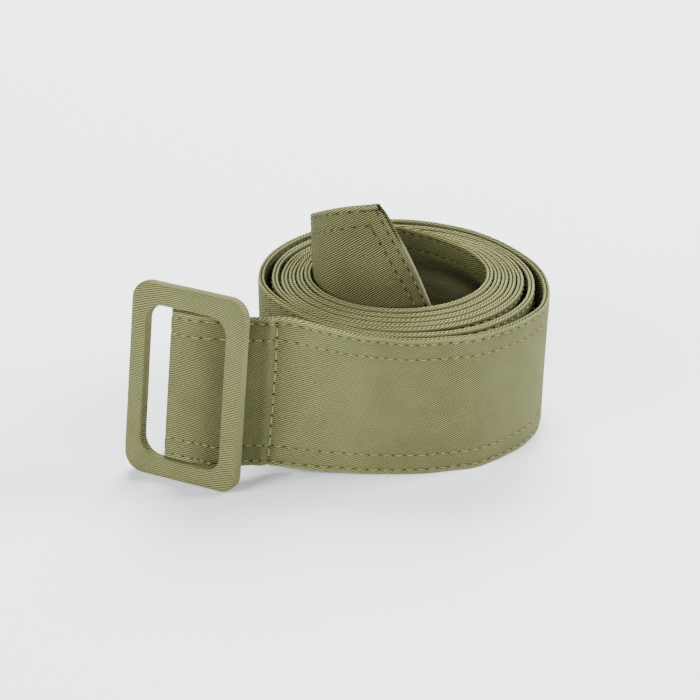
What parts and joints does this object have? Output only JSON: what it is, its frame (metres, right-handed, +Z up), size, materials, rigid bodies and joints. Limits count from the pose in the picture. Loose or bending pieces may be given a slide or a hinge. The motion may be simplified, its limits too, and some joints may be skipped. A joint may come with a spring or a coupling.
{
  "type": "coat belt",
  "caption": "Cotton twill coat belt rolled into a standing coil, its end sewn round the bar of a cloth-covered slide buckle.",
  "frame": {"origin": "on the floor, at the middle of the foot of the whole belt's box", "axes": "+Z up, across the belt's width; the buckle's face looks along -Y; +X to the right as seen facing the buckle"},
  "size_m": [0.1163, 0.1363, 0.0893],
  "materials": {
    "belt_twill": "khaki green cotton twill with fine slanting ribs, matt, top-stitched in two rows along each edge",
    "buckle_cloth": "the same khaki green cotton twill, stretched smooth over the buckle's frame",
    "bar_plastic": "plain dark matt plastic, hidden inside the belt's fold"
  },
  "bodies": {
    "root": {"strap": "belt_twill", "buckle_frame": "buckle_cloth", "centre_bar": "bar_plastic"}
  },
  "joints": []
}
